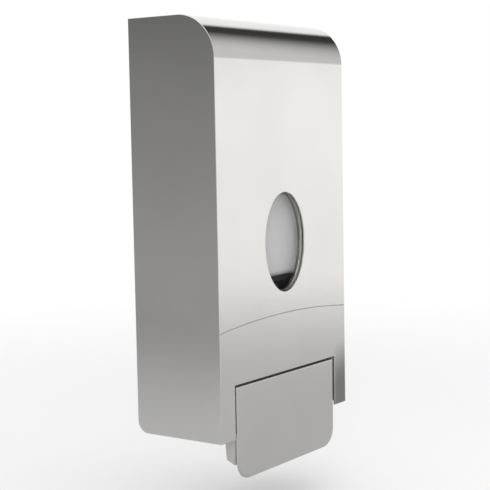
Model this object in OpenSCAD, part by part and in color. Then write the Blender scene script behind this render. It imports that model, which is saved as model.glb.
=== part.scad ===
// Wall-mounted soap dispenser with a hinged steel cover, a push lever and a piston pump.
// Millimetres. X runs along the wall, Y into the wall and Z up.
// The origin is on the wall, in the middle of the four wall holes.
// Inside the modules the height is counted from the casing's lower edge, and hang() lowers it.

/* [Casing] */
// Width of the casing
case_w = 150; // [146:1:160]
// Depth of the casing from the wall
case_d = 68; // [67:1:76]
// Height of the casing
case_h = 267; // [264:1:280]
// Radius of the rounded top edge
top_r = 28; // [20:1:30]
// Radius of the lower back corner, round the cover's hinge
heel_r = 8; // [7.6:0.1:8.4]
// Thickness of the cover's steel sheet
sheet_t = 1; // [0.8:0.1:1.2]
// Radius of the folded upright edges
fold_r = 1.6; // [1.3:0.1:2]
// Space between the cover's rear edge and the wall
wall_gap = 0.5; // [0.4:0.1:0.8]

/* [Front] */
// Width of the oval window
window_w = 46.6; // [40:0.2:50]
// Height of the oval window
window_h = 66; // [56:1:70]
// Height of the window's middle
window_z = 121; // [119:1:124]
// Depth of the window's clear tray behind the front
window_deep = 4.5; // [3.5:0.5:6]
// Radius of the arc groove across the front
groove_r = 640; // [500:10:900]
// Height of the groove in the middle
groove_z = 74; // [70:1:80]
// Width of the groove
groove_w = 1.2; // [0.8:0.1:2]
// Depth of the groove
groove_deep = 0.35; // [0.2:0.05:0.5]

/* [Lever] */
// Width of the casing's front strip on each side of the push plate, with the gap
strip_w = 16.5; // [15.5:0.1:20]
// Height of the push plate
plate_h = 61; // [56:1:64]
// Thickness of the push plate
plate_t = 1.2; // [1:0.1:1.5]
// Radius of the push plate's lower corners
plate_corner_r = 13; // [8:1:16]
// Gap between the push plate and the casing
lever_gap = 1.4; // [1:0.1:2]
// How far the push plate hangs below the casing
lever_drop = 27.5; // [25:0.5:29]
// Depth of the lever's moulded body
lever_deep = 9.8; // [9.2:0.1:10.4]
// Distance from the lever's pivot to the pump's axis
fork_reach = 24; // [22:0.5:25]
// Height of the lever's pivot
pivot_z = 29; // [28.5:0.1:29.5]

/* [Tank] */
// Space between the tank and the casing on each side
tank_side = 9; // [7:0.5:19]
// Height of the tank's floor
tank_z = 97; // [96:1:99]
// Space between the tank's roof and the casing's top
tank_over = 40; // [39:1:60]
// Wall of the tank
tank_t = 2; // [1.6:0.1:2.5]
// Radius of the tank's upright edges
tank_corner_r = 9; // [6:1:12]
// Radius of the tank's lower and upper edges
tank_edge_r = 5; // [3:0.5:6]
// Width of the filling mouth
mouth_w = 76; // [60:1:84]
// Depth of the filling mouth
mouth_d = 34; // [28:1:36]

/* [Pump] */
// Bore of the pump's cylinder
pump_bore = 16; // [15:0.2:16.6]
// Radius of the plunger's stem
stem_r = 4.5; // [4:0.1:5]
// Wire of the return spring
wire_d = 1.1; // [0.9:0.1:1.3]
// Turns of the return spring
spring_turns = 6; // [5:1:7]
// Mean radius of the return spring
spring_r = 8; // [7.5:0.1:8.5]

/* [Wall holes] */
// Distance between the wall holes across
hole_dx = 90; // [70:1:100]
// Radius of a wall hole
hole_r = 2.75; // [2:0.05:3.5]
// Height of the lower wall holes
hole_low = 62; // [56:1:64]
// Distance of the upper wall holes from the back plate's top
hole_set = 8; // [7:0.5:12]

/* [Hidden] */
$fn = 48;
// Overrun of every cut
over = 1;
// Clearance between pieces of different bodies
gap = 0.3;
// Radial clearance of a pin or shaft in its hole
run = 0.05;
// Corners of an oval and steps of a rounded heel
oval_points = 72;
heel_steps = 5;

// Casing: heights are counted from its lower edge, depths from the wall
front_y = -case_d;
inner_x = case_w / 2 - sheet_t;
inner_y = front_y + sheet_t;
inner_top = case_h - sheet_t;
hinge_y = -wall_gap - heel_r;
hinge_z = heel_r;

// Back plate, with its side flanges, hinge lugs and top lip
back_t = 1.5;
back_margin = 4;
back_x = case_w / 2 - back_margin;
back_short = 15;
back_top = case_h - back_short;
hole_dz = back_top - hole_set - hole_low;
hang_z = hole_low + hole_dz / 2;
flange_d = 15.5;
flange_corner_r = 6;
bend_r = 2.5;
lug_r = 7;
lip_d = 8;
lip_margin = 12;
bead_x = 36;
bead_r = 4;
bead_rise = 1.2;
bead_low = 104;
bead_set = 18;

// Hinge pins of the cover
pin_r = 2.5;
pin_head_r = 4;
pin_head_t = 2;

// Push plate, its notch and its studs
plate_w = case_w - 2 * strip_w;
notch_w = plate_w + 2 * lever_gap;
plate_top = plate_h - lever_drop;
notch_top = plate_top + lever_gap;
stud_r = 2;
stud_dx = 80;
stud_dz = 26;
stud_low = -8;
stud_l = 4.5;

// Lever's body, with its pivot
pivot_set = 8;
pivot_y = front_y + pivot_set;
groove_t = 1;
groove_in = 2.5;
lever_sole = 17;
lever_rise = 2.2;
lever_lean = 1.2;
lever_heel_r = 1.5;
lever_wall = 2.2;
lever_lug_r = 5;
lever_lug_w = 7;
lever_pin_r = 2.5;
lever_rib_x = 30;
lever_rib_t = 2;
lever_top_set = 0.5;
stud_boss_l = 1.5;
stud_boss_r = 4;
body_front = front_y + plate_t + groove_t;
body_back = front_y + lever_deep;
body_top = plate_top - lever_top_set;

// Fork of the lever
fork_in = 8;
fork_w = 4;
fork_root = 11;
fork_slack = 0.5;
nose_r = 2.5;
nose_drop = 0.8;
nose_z = pivot_z - nose_drop;

// Cover's moulded frame: beam, cheeks and pivot ears
cheek_in = back_x + gap;
cheek_top = 58;
cheek_round = 14;
beam_up = 3.1;
beam_z = notch_top + beam_up;
beam_h = 14;
beam_t = 5;
beam_web_t = 2;
beam_rib_d = 4;
beam_rib_t = 1.6;
beam_rib_near = 10;
beam_rib_far = 28;
beam_boss_r = 4;
beam_stud_x = 45;
ear_in = notch_w / 2 + gap;
ear_w = 6;
ear_r = 5.5;

// Plunger, from its collar, which lies on the fork, up to its head and down to its tail
pump_y = pivot_y + fork_reach;
bore_r = pump_bore / 2;
collar_z = nose_z + nose_r + gap;
collar_r = 12.5;
collar_t = 3;
stem_hole_r = 2.2;
stem_tail = 35;
stem_low = collar_z - stem_tail;

// Return spring, between the collar and the gland
spring_seat = 0.1;
spring_room = 18;
spring_rings = 8;
spring_sides = 6;

// Gland and cylinder
gland_z = collar_z + collar_t + spring_room;
gland_t = 3;
gland_h = 10;
gland_wall = 1.8;
cylinder_t = 2.5;
cylinder_r = bore_r + cylinder_t;
gland_r = cylinder_r + gland_wall;

// Piston's head and its seal
head_rise = 2;
head_z = gland_z + gland_t + head_rise;
head_h = 3;
seal_h = 3;
seal_in = 5.5;
seal_lip = 1.2;
cap_h = 1.5;
head_top = head_z + head_h + seal_h + cap_h;

// Tank's neck, and the pump's flange and washer under it
neck_r = 16;
neck_t = 3;
neck_l = 17;
washer_t = 1.5;
flange_t = 2;
neck_z = tank_z - neck_l;
flange_z = neck_z - washer_t - flange_t;

// Inlet valve
inlet_r = 8;
inlet_h = 9.5;
inlet_hole_r = 2;
cage_r = 3.6;
cage_top = flange_z + flange_t + inlet_h;
ball_r = 3;
seat_t = 2;

// Union nut
nut_r = 19.5;
nut_h = 17.5;
nut_lip = 3;
nut_grip_r = 1.2;
nut_grips = 18;
thread_gap = 0.3;

// Nozzle and its valve
nozzle_grip = 6;
nozzle_l = 16;
nozzle_r = 6;
nozzle_tip_r = 4;
spout_r = 2.4;
valve_h = 3;
valve_slit_r = 0.6;

// Tank, and the filling mouth with its lid
window_room = 3.5;
tank_front = inner_y + window_deep + window_room;
tank_clear = 2.5;
tank_back = -back_t - tank_clear;
tank_w = 2 * (inner_x - tank_side);
tank_top = case_h - tank_over;
tank_h = tank_top - tank_z;
mouth_y = (tank_front + tank_back) / 2;
mouth_corner_r = 6;
rim_t = 2;
rim_h = 2.5;
gasket_t = 1;
lid_z = tank_top + rim_h + gasket_t;
lid_t = 2;
lid_skirt = 2.5;
lid_tab_w = 18;
lid_tab_d = 4;
lid_tab_r = 3;
lid_tab_y = mouth_y - mouth_d / 2 - rim_t - lid_t - lid_tab_d;
lid_grip_set = 1.5;
lid_grip_step = 2;
lid_grip_w = 1;
lid_grip_h = 0.6;

// Vent valve in the lid
vent_x = 24;
vent_r = 5;
vent_t = 1.3;
vent_stem_r = 1.5;
vent_bulb_r = 2.5;
vent_bulb_t = 1.4;

// Bracket under the tank, and its screws
bracket_in = 9;
bracket_w = tank_w - 2 * bracket_in;
bracket_short = 3.5;
bracket_front = tank_front + bracket_short;
bracket_t = 3.5;
bracket_corner_r = 8;
bracket_back_h = 27;
bracket_hole_gap = 1;
bracket_hole_r = neck_r + bracket_hole_gap;
gusset_t = 3;
gusset_in = 6;
gusset_x = bracket_w / 2 - gusset_in;
screw_r = 2;
screw_head_r = 3.6;
screw_head_t = 2;
screw_slot = 0.8;
screw_dx = 60;
screw_up = 12;
screw_z = tank_z - bracket_back_h + screw_up;

// Window's tray, its clamping ring and their studs
lens_t = 1.2;
lens_rim = 6;
lens_rim_t = 1.5;
lens_slack = 0.15;
ring_t = 2;
ring_w = 8;
ring_ear_r = 4.5;
bolt_r = 1.5;
bolt_l = 5;
bolt_proud = 1.5;
bolt_nut_r = 3;
bolt_nut_t = 2;
bolt_out = 3;
window_stud_x = (window_w / 2 + ring_w + bolt_out) * cos(45);
window_stud_z = (window_h / 2 + ring_w + bolt_out) * sin(45);

// Lock: housing, nut, plug, cam and screw
lock_y = -22;
lock_r = 6;
lock_flange_r = 9;
lock_flange_t = 1.5;
lock_l = 21;
lock_top = case_h + lock_flange_t;
lock_nut_r = 9;
lock_nut_t = 4;
plug_r = 4;
plug_head_r = 5.4;
plug_head_t = 1;
plug_square = 5.6;
plug_low = case_h - lock_l - gap;
key_w = 1.4;
key_l = 5;
key_deep = 4;
cam_t = 2;
cam_l = 17;
cam_w = 8;
cam_hub_r = 6;
cam_low = plug_low - cam_t;
cam_screw_r = 1.5;
cam_screw_l = 6;
cam_head_r = 4.4;
cam_head_t = 2;

// Keeper that the cam turns behind, and its rivets
keeper_x = 10.5;
keeper_w = 7;
keeper_t = 1.5;
keeper_over = 2.3;
keeper_z = plug_low + keeper_over;
keeper_lip = 6;
keeper_play = 1;
keeper_lip_y = lock_y - cam_w / 2 - keeper_play;
keeper_foot_w = 13;
keeper_foot_h = 14;
keeper_low = keeper_z - keeper_foot_h;
rivet_r = 1.6;
rivet_head_r = 3;
rivet_head_t = 1;
rivet_x = keeper_x + keeper_w + keeper_foot_w / 2;
rivet_up = 5;
rivet_low = keeper_low + rivet_up;
rivet_dz = 7;

// Lowers a piece from the casing's own heights to the origin between the wall holes.
module hang() translate([0, 0, -hang_z]) children();

// A square-edged block between two corners.
module block(low, high) translate(low) cube(high - low);

// Draws its children and their mirror image on the other side of the middle.
module both_sides() {
    children();
    mirror([1, 0, 0]) children();
}

// Extrudes an outline drawn in Y and Z along X, between two places.
module along_x(x_from, x_to)
    translate([x_from, 0, 0]) rotate([90, 0, 90]) linear_extrude(x_to - x_from) children();

// Extrudes an outline drawn in X and Z along Y, between two depths.
module along_y(y_from, y_to)
    translate([0, y_to, 0]) rotate([90, 0, 0]) linear_extrude(y_to - y_from) children();

// A round bar along X.
module bar_x(r, x_from, x_to, y, z)
    translate([x_from, y, z]) rotate([0, 90, 0]) cylinder(r = r, h = x_to - x_from);

// A round bar along Y.
module bar_y(r, y_from, y_to, x, z)
    translate([x, y_to, z]) rotate([90, 0, 0]) cylinder(r = r, h = y_to - y_from);

// A round bar upwards.
module bar_z(r, z_from, z_to, x, y) translate([x, y, z_from]) cylinder(r = r, h = z_to - z_from);

// What a rounding takes off an upper left corner that lies at the origin.
module corner_waste(r) difference() {
    translate([-over, -r]) square([r + over, r + over]);
    translate([r, -r]) circle(r);
}

// A rectangle with round corners, from its lower left to its upper right corner.
module rounded(low, high, r) {
    size = high - low;
    translate(low + [r, 0]) square(size - [2 * r, 0]);
    translate(low + [0, r]) square(size - [0, 2 * r]);
    for (x = [low[0] + r, high[0] - r], y = [low[1] + r, high[1] - r])
        translate([x, y]) circle(r);
}

// An oval with half axes a and b.
module oval(a, b) polygon([
    for (i = [0 : oval_points - 1])
        [a * cos(360 * i / oval_points), b * sin(360 * i / oval_points)]
]);

// The casing seen from its side, with the rounded top edge and the heel round the hinge.
module casing_side(inset) difference() {
    translate([front_y + inset, 0]) square([case_d - inset - wall_gap, case_h - inset]);
    translate([front_y + inset, case_h - inset]) corner_waste(top_r - inset);
    translate([-wall_gap, 0]) rotate(180) corner_waste(heel_r);
}

// The casing seen from above, with the folded upright edges.
module casing_plan(inset) difference() {
    translate([inset - case_w / 2, front_y + inset]) square([case_w - 2 * inset, case_d]);
    for (turn = [0, 1]) mirror([turn, 0]) translate([inset - case_w / 2, front_y + inset])
        mirror([0, 1]) corner_waste(fold_r - inset);
}

// The space inside the folded sheet, open below and at the back.
module cover_hollow() intersection() {
    along_x(-inner_x, inner_x) difference() {
        translate([inner_y, -over]) square([case_d, inner_top + over]);
        translate([inner_y, inner_top]) corner_waste(top_r - sheet_t);
    }
    translate([0, 0, -2 * over]) linear_extrude(case_h + over) casing_plan(sheet_t);
}

// Places of the four studs round the window.
module window_studs(y_from, y_to, r) for (side = [-1, 1], up = [-1, 1])
    bar_y(r, y_from, y_to, side * window_stud_x, window_z + up * window_stud_z);

// Places of the two studs that carry the moulded frame.
module beam_studs(y_from, y_to, r) for (side = [-1, 1])
    bar_y(r, y_from, y_to, side * beam_stud_x, beam_z + beam_h / 2);

// Cover: one folded sheet, open behind and below.
module cover_shell() color([0.72, 0.72, 0.71]) hang() difference() {
    intersection() {
        along_x(-case_w / 2, case_w / 2) casing_side(0);
        linear_extrude(case_h) casing_plan(0);
    }
    cover_hollow();
    block([-notch_w / 2, front_y - over, -over], [notch_w / 2, inner_y + over, notch_top]);
    along_y(front_y - over, inner_y + over)
        translate([0, window_z]) oval(window_w / 2, window_h / 2);
    along_y(front_y - over, front_y + groove_deep) translate([0, groove_z - groove_r])
        difference() {
            circle(groove_r + groove_w / 2, $fn = 720);
            circle(groove_r - groove_w / 2, $fn = 720);
        }
    bar_z(lock_r + run, inner_top - over, case_h + over, 0, lock_y);
}

// Studs welded to the inside of the cover.
module cover_studs() color([0.6, 0.6, 0.6]) hang() {
    window_studs(inner_y, inner_y + bolt_l, bolt_r);
    beam_studs(inner_y, inner_y + beam_t + bolt_nut_t + bolt_proud, bolt_r);
}

module stud_nut(y_from, x, z)
    translate([x, y_from + bolt_nut_t, z]) rotate([90, 0, 0]) difference() {
        cylinder(r = bolt_nut_r, h = bolt_nut_t, $fn = 6);
        translate([0, 0, -over]) cylinder(r = bolt_r, h = bolt_nut_t + 2 * over);
    }

// Nuts on those studs.
module stud_nuts() color([0.55, 0.55, 0.55]) hang() {
    for (side = [-1, 1], up = [-1, 1])
        stud_nut(inner_y + lens_rim_t + ring_t, side * window_stud_x,
            window_z + up * window_stud_z);
    for (side = [-1, 1])
        stud_nut(inner_y + beam_t, side * beam_stud_x, beam_z + beam_h / 2);
}

// One end of the moulded frame: the cheek beside the back plate's flange, and the pivot's ear.
module frame_end() {
    along_x(cheek_in, inner_x) difference() {
        intersection() {
            casing_side(sheet_t);
            translate([front_y, 0]) square([case_d, cheek_top]);
        }
        translate([-wall_gap, cheek_top]) mirror([1, 0]) corner_waste(cheek_round);
    }
    along_x(ear_in, ear_in + ear_w) ear_side();
    bar_x(lever_lug_r, plate_w / 2 + gap, ear_in + ear_w, pivot_y, pivot_z);
    block([ear_in + ear_w - over, inner_y, pivot_z - ear_r],
        [inner_x, inner_y + beam_web_t, beam_z + beam_h]);
}

// The ear that carries the lever's pivot, from the side.
module ear_side() {
    translate([pivot_y, pivot_z]) circle(ear_r);
    translate([inner_y, pivot_z - ear_r])
        square([pivot_y - inner_y, beam_z + beam_web_t - pivot_z + ear_r]);
    translate([pivot_y, pivot_z]) square([ear_r, beam_z + beam_web_t - pivot_z]);
}

// Moulded frame: a ribbed beam above the notch, and at each end the cheek and the pivot's ear.
module cover_frame() color([0.45, 0.46, 0.47]) hang() difference() {
    union() {
        block([-inner_x, inner_y, beam_z], [inner_x, inner_y + beam_web_t, beam_z + beam_h]);
        for (z = [beam_z, beam_z + beam_h - beam_web_t])
            block([-inner_x, inner_y, z], [inner_x, inner_y + beam_rib_d, z + beam_web_t]);
        for (x = [-beam_rib_far, -beam_rib_near, beam_rib_near, beam_rib_far])
            block([x - beam_rib_t / 2, inner_y, beam_z],
                [x + beam_rib_t / 2, inner_y + beam_rib_d, beam_z + beam_h]);
        for (side = [-1, 1])
            bar_y(beam_boss_r, inner_y, inner_y + beam_t, side * beam_stud_x,
                beam_z + beam_h / 2);
        both_sides() frame_end();
    }
    both_sides() bar_x(pin_r, cheek_in - over, inner_x + over, hinge_y, hinge_z);
    both_sides() bar_x(pin_r, plate_w / 2, ear_in + ear_w + over, pivot_y, pivot_z);
    beam_studs(inner_y - over, inner_y + beam_t + over, bolt_r);
}

// Clear tray behind the oval opening.
module window_lens() color([0.85, 0.88, 0.9, 0.4]) hang() translate([0, 0, window_z]) {
    a = window_w / 2;
    b = window_h / 2;
    along_y(inner_y, inner_y + lens_rim_t) difference() {
        oval(a + lens_rim, b + lens_rim);
        oval(a, b);
    }
    along_y(inner_y, inner_y + window_deep) difference() {
        oval(a + lens_t, b + lens_t);
        oval(a, b);
    }
    along_y(inner_y + window_deep - lens_t, inner_y + window_deep) oval(a + lens_t, b + lens_t);
}

// Ring that clamps the tray's rim to the cover.
module window_ring() color([0.85, 0.85, 0.84]) hang() difference() {
    along_y(inner_y + lens_rim_t, inner_y + lens_rim_t + ring_t) translate([0, window_z]) {
        oval(window_w / 2 + ring_w, window_h / 2 + ring_w);
        for (side = [-1, 1], up = [-1, 1])
            translate([side * window_stud_x, up * window_stud_z]) circle(ring_ear_r);
    }
    along_y(inner_y, inner_y + window_deep) translate([0, window_z])
        oval(window_w / 2 + lens_t + lens_slack, window_h / 2 + lens_t + lens_slack);
    window_studs(inner_y, inner_y + window_deep, bolt_r);
}

// Hinge pins: pressed into the cheeks, and turning in the back plate's flanges.
module hinge_pins() color([0.6, 0.6, 0.6]) hang() both_sides() {
    bar_x(pin_r, back_x - back_t - gap - pin_head_t, inner_x, hinge_y, hinge_z);
    bar_x(pin_head_r, back_x - back_t - gap - pin_head_t, back_x - back_t - gap,
        hinge_y, hinge_z);
}

// Lever pins: pressed into the ears, and turning in the lever's lugs.
module lever_pins() color([0.6, 0.6, 0.6]) hang() both_sides()
    bar_x(lever_pin_r, plate_w / 2 - lever_lug_w, ear_in + ear_w, pivot_y, pivot_z);

// The back plate's side flange, with the hinge's lug at its lower end.
module flange_side() {
    difference() {
        translate([-flange_d, hinge_z]) square([flange_d, back_top - hinge_z]);
        translate([-flange_d, back_top]) corner_waste(flange_corner_r);
    }
    translate([hinge_y, hinge_z]) circle(lug_r);
}

// Upright beads pressed into the back plate, drawn as bars whose axes lie behind it.
module plate_beads(r) both_sides() intersection() {
    bar_z(r, bead_low, back_top - bead_set, bead_x, bead_r - back_t - bead_rise);
    block([-back_x, -lip_d, bead_low], [back_x, 0, back_top]);
}

// Back plate: pressed sheet that hangs on the wall.
module back_plate() color([0.62, 0.62, 0.61]) hang() difference() {
    intersection() {
        union() {
            block([-back_x, -back_t, hinge_z], [back_x, 0, back_top]);
            plate_beads(bead_r);
            block([lip_margin - back_x, -lip_d, back_top - back_t],
                [back_x - lip_margin, 0, back_top]);
            both_sides() along_x(back_x - back_t, back_x) flange_side();
        }
        linear_extrude(back_top) rounded([-back_x, -case_d], [back_x, 0], bend_r);
    }
    for (side = [-1, 1], up = [0, 1])
        bar_y(hole_r, -back_t - over, over, side * hole_dx / 2, hole_low + up * hole_dz);
    plate_beads(bead_r - back_t);
    for (side = [-1, 1]) bar_y(screw_r, -back_t - over, over, side * screw_dx / 2, screw_z);
    for (up = [0, 1]) bar_y(rivet_r, -back_t - over, over, rivet_x, rivet_low + up * rivet_dz);
    both_sides() bar_x(pin_r + run, back_x - back_t - over, back_x + over, hinge_y, hinge_z);
}

// Keeper: an angle on the back plate, whose lip stands in front of the turned cam.
module lock_keeper() color([0.6, 0.6, 0.6]) hang() difference() {
    union() {
        block([keeper_x, -back_t - keeper_t, keeper_low],
            [keeper_x + keeper_w + keeper_foot_w, -back_t, keeper_z + keeper_t]);
        block([keeper_x, keeper_lip_y - keeper_t, keeper_z],
            [keeper_x + keeper_w, -back_t, keeper_z + keeper_t]);
        block([keeper_x, keeper_lip_y - keeper_t, keeper_z - keeper_lip],
            [keeper_x + keeper_w, keeper_lip_y, keeper_z + keeper_t]);
    }
    for (up = [0, 1])
        bar_y(rivet_r, -back_t - keeper_t - over, over, rivet_x, rivet_low + up * rivet_dz);
}

// Rivets of the keeper.
module keeper_rivets() color([0.55, 0.55, 0.55]) hang() for (up = [0, 1]) {
    bar_y(rivet_r, -back_t - keeper_t - rivet_head_t, 0, rivet_x, rivet_low + up * rivet_dz);
    bar_y(rivet_head_r, -back_t - keeper_t - rivet_head_t, -back_t - keeper_t,
        rivet_x, rivet_low + up * rivet_dz);
}

// Bracket: a moulded shelf with two gussets, which carries the tank.
module pump_bracket() color([0.08, 0.08, 0.08]) hang() difference() {
    union() {
        translate([0, 0, tank_z - bracket_t]) linear_extrude(bracket_t) {
            rounded([-bracket_w / 2, bracket_front], [bracket_w / 2, -back_t], bracket_corner_r);
            translate([-bracket_w / 2, -back_t - bracket_corner_r])
                square([bracket_w, bracket_corner_r]);
        }
        block([-bracket_w / 2, -back_t - bracket_t, tank_z - bracket_back_h],
            [bracket_w / 2, -back_t, tank_z]);
        both_sides() along_x(gusset_x, gusset_x + gusset_t) polygon([
            [-back_t, tank_z - bracket_back_h],
            [-back_t, tank_z],
            [bracket_front + bracket_corner_r, tank_z],
            [bracket_front + bracket_corner_r, tank_z - 2 * bracket_t],
            [-back_t - 2 * bracket_t, tank_z - bracket_back_h]
        ]);
    }
    bar_z(bracket_hole_r, tank_z - bracket_t - over, tank_z + over, 0, pump_y);
    for (side = [-1, 1])
        bar_y(screw_r, -back_t - bracket_t - over, over, side * screw_dx / 2,
            screw_z);
}

// Screws of the bracket.
module bracket_screws() color([0.6, 0.6, 0.6]) hang() for (side = [-1, 1]) {
    bar_y(screw_r, -back_t - bracket_t, 0, side * screw_dx / 2, screw_z);
    difference() {
        bar_y(screw_head_r, -back_t - bracket_t - screw_head_t, -back_t - bracket_t,
            side * screw_dx / 2, screw_z);
        block([side * screw_dx / 2 - screw_head_r,
                -back_t - bracket_t - screw_head_t - over, screw_z - screw_slot / 2],
            [side * screw_dx / 2 + screw_head_r,
                -back_t - bracket_t - screw_head_t / 2, screw_z + screw_slot / 2]);
    }
}

// The tank's outline from above, drawn in from its outside by inset.
module tank_plan(inset) rounded([inset - tank_w / 2, tank_front + inset],
    [tank_w / 2 - inset, tank_back - inset], tank_corner_r - inset);

// The tank's box, drawn in from its outside by inset, with its edges rounded.
module tank_box(inset) intersection() {
    translate([0, 0, tank_z + inset]) linear_extrude(tank_h - 2 * inset) tank_plan(inset);
    along_x(-tank_w / 2, tank_w / 2) rounded([tank_front + inset, tank_z + inset],
        [tank_back - inset, tank_top - inset], tank_edge_r - inset);
    along_y(tank_front, tank_back) rounded([inset - tank_w / 2, tank_z + inset],
        [tank_w / 2 - inset, tank_top - inset], tank_edge_r - inset);
}

// The filling mouth's outline from above, grown by grow.
module mouth_plan(grow) rounded([-mouth_w / 2 - grow, mouth_y - mouth_d / 2 - grow],
    [mouth_w / 2 + grow, mouth_y + mouth_d / 2 + grow], mouth_corner_r + grow);

// Tank: a moulded box with a filling mouth above and a threaded neck below.
module tank() color([0.93, 0.94, 0.94, 0.8]) hang() difference() {
    union() {
        tank_box(0);
        translate([0, 0, tank_top - tank_t]) linear_extrude(tank_t + rim_h) mouth_plan(rim_t);
        bar_z(neck_r, neck_z, tank_z + tank_t, 0, pump_y);
    }
    tank_box(tank_t);
    translate([0, 0, tank_top - tank_t - over]) linear_extrude(tank_t + rim_h + 2 * over)
        mouth_plan(0);
    bar_z(neck_r - neck_t, neck_z - over, tank_z + tank_t + over, 0, pump_y);
}

// Gasket on the mouth's rim.
module lid_gasket() color([0.15, 0.15, 0.15]) hang() translate([0, 0, tank_top + rim_h])
    linear_extrude(gasket_t) difference() {
        mouth_plan(rim_t);
        mouth_plan(0);
    }

// Lid: a cap pressed over the mouth's rim, with a ribbed tab for the thumb.
module tank_lid() color([0.2, 0.2, 0.21]) hang() difference() {
    union() {
        translate([0, 0, lid_z - lid_skirt]) linear_extrude(lid_skirt + lid_t)
            mouth_plan(rim_t + lid_t);
        translate([0, 0, lid_z]) linear_extrude(lid_t)
            rounded([-lid_tab_w / 2, lid_tab_y], [lid_tab_w / 2, lid_tab_y + lid_tab_w / 2],
                lid_tab_r);
        for (row = [0, 1, 2])
            translate([0, lid_tab_y + lid_grip_set + row * lid_grip_step, lid_z + lid_t])
                block([lid_tab_r - lid_tab_w / 2, 0, -over],
                    [lid_tab_w / 2 - lid_tab_r, lid_grip_w, lid_grip_h]);
    }
    translate([0, 0, lid_z - lid_skirt - over]) linear_extrude(lid_skirt + over)
        mouth_plan(rim_t);
    bar_z(vent_stem_r, lid_z - over, lid_z + lid_t + over, vent_x, mouth_y);
}

// Vent valve: a rubber button that lets air in through the lid.
module vent_valve() color([0.1, 0.1, 0.1]) hang() translate([vent_x, mouth_y, 0]) {
    bar_z(vent_r, lid_z + lid_t, lid_z + lid_t + vent_t, 0, 0);
    bar_z(vent_stem_r, lid_z - vent_bulb_t, lid_z + lid_t + vent_t, 0, 0);
    bar_z(vent_bulb_r, lid_z - vent_bulb_t, lid_z, 0, 0);
}

// Union nut: a ribbed ring that holds the pump under the tank's neck.
module union_nut() color([0.12, 0.12, 0.12]) hang() translate([0, pump_y, 0]) difference() {
    union() {
        bar_z(nut_r, flange_z - nut_lip, flange_z - nut_lip + nut_h, 0, 0);
        for (i = [0 : nut_grips - 1]) rotate(360 * i / nut_grips)
            bar_z(nut_grip_r, flange_z - nut_lip, flange_z - nut_lip + nut_h, nut_r, 0);
    }
    bar_z(neck_r + thread_gap, flange_z, flange_z + nut_h, 0, 0);
    bar_z(cylinder_r + thread_gap, flange_z - nut_lip - over, flange_z + over, 0, 0);
}

// Washer between the neck and the pump's flange.
module neck_seal() color([0.1, 0.1, 0.1]) hang() difference() {
    bar_z(neck_r, flange_z + flange_t, neck_z, 0, pump_y);
    bar_z(neck_r - neck_t, flange_z + flange_t - over, neck_z + over, 0, pump_y);
}

// Pump cylinder: open below, with the inlet valve's cage above its flange.
module pump_cylinder() color([0.85, 0.85, 0.84]) hang() translate([0, pump_y, 0]) difference() {
    union() {
        bar_z(cylinder_r, gland_z + gland_t, flange_z + flange_t, 0, 0);
        bar_z(neck_r, flange_z, flange_z + flange_t, 0, 0);
        bar_z(inlet_r, flange_z, cage_top, 0, 0);
    }
    bar_z(bore_r, gland_z + gland_t - over, flange_z, 0, 0);
    bar_z(inlet_hole_r, flange_z - over, cage_top, 0, 0);
    bar_z(cage_r, flange_z + flange_t, cage_top + over, 0, 0);
}

// Seat that the inlet's ball closes against from below.
module inlet_seat() color([0.85, 0.85, 0.84]) hang() translate([0, pump_y, 0]) difference() {
    bar_z(inlet_r, cage_top, cage_top + seat_t, 0, 0);
    bar_z(inlet_hole_r, cage_top - over, cage_top + seat_t + over, 0, 0);
}

// Ball of the inlet valve, lying on the cage's floor.
module inlet_ball() color([0.8, 0.8, 0.8]) hang()
    translate([0, pump_y, flange_z + flange_t + run
        + sqrt(ball_r * ball_r - inlet_hole_r * inlet_hole_r)]) sphere(ball_r);

// Gland: a cap on the cylinder's lower end, which guides the stem.
module pump_gland() color([0.12, 0.12, 0.12]) hang() translate([0, pump_y, 0]) difference() {
    bar_z(gland_r, gland_z, gland_z + gland_h, 0, 0);
    bar_z(cylinder_r, gland_z + gland_t, gland_z + gland_h + over, 0, 0);
    bar_z(stem_r + run, gland_z - over, gland_z + gland_t + over, 0, 0);
}

// Middle of the spring's wire at a step along its helix.
spring_steps = spring_turns * spring_rings;
spring_low = collar_z + collar_t + spring_seat + wire_d / 2;
spring_rise = (spring_room - 2 * spring_seat - wire_d) / spring_steps;
function spring_mid(k) = [
    spring_r * cos(360 * k / spring_rings),
    spring_r * sin(360 * k / spring_rings),
    spring_low + spring_rise * k
];

// Point j of the wire's outline at a step, facing away from the helix's axis.
function spring_skin(k, j) = spring_mid(k) + wire_d / 2 * [
    cos(360 * j / spring_sides) * cos(360 * k / spring_rings),
    cos(360 * j / spring_sides) * sin(360 * k / spring_rings),
    sin(360 * j / spring_sides)
];
spring_gap = min([for (k = [0 : spring_steps - spring_rings], near = [-1 : 1])
    norm(spring_mid(k + spring_rings + near) - spring_mid(k)) - wire_d]);
echo(least_gap_of_the_spring = spring_gap);

// Return spring: one round wire wound between the gland and the plunger's collar.
module return_spring() color([0.65, 0.65, 0.66]) hang() translate([0, pump_y, 0]) {
    n = spring_sides;
    last = spring_steps * n;
    polyhedron(
        points = [for (k = [0 : spring_steps], j = [0 : n - 1]) spring_skin(k, j)],
        faces = concat(
            [for (j = [1 : n - 2]) [0, j, j + 1]],
            [for (j = [1 : n - 2]) [last, last + j + 1, last + j]],
            [for (k = [0 : spring_steps - 1], j = [0 : n - 1])
                [k * n + j, (k + 1) * n + j, k * n + (j + 1) % n]],
            [for (k = [0 : spring_steps - 1], j = [0 : n - 1])
                [k * n + (j + 1) % n, (k + 1) * n + j, (k + 1) * n + (j + 1) % n]]
        ),
        convexity = 10
    );
}

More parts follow.
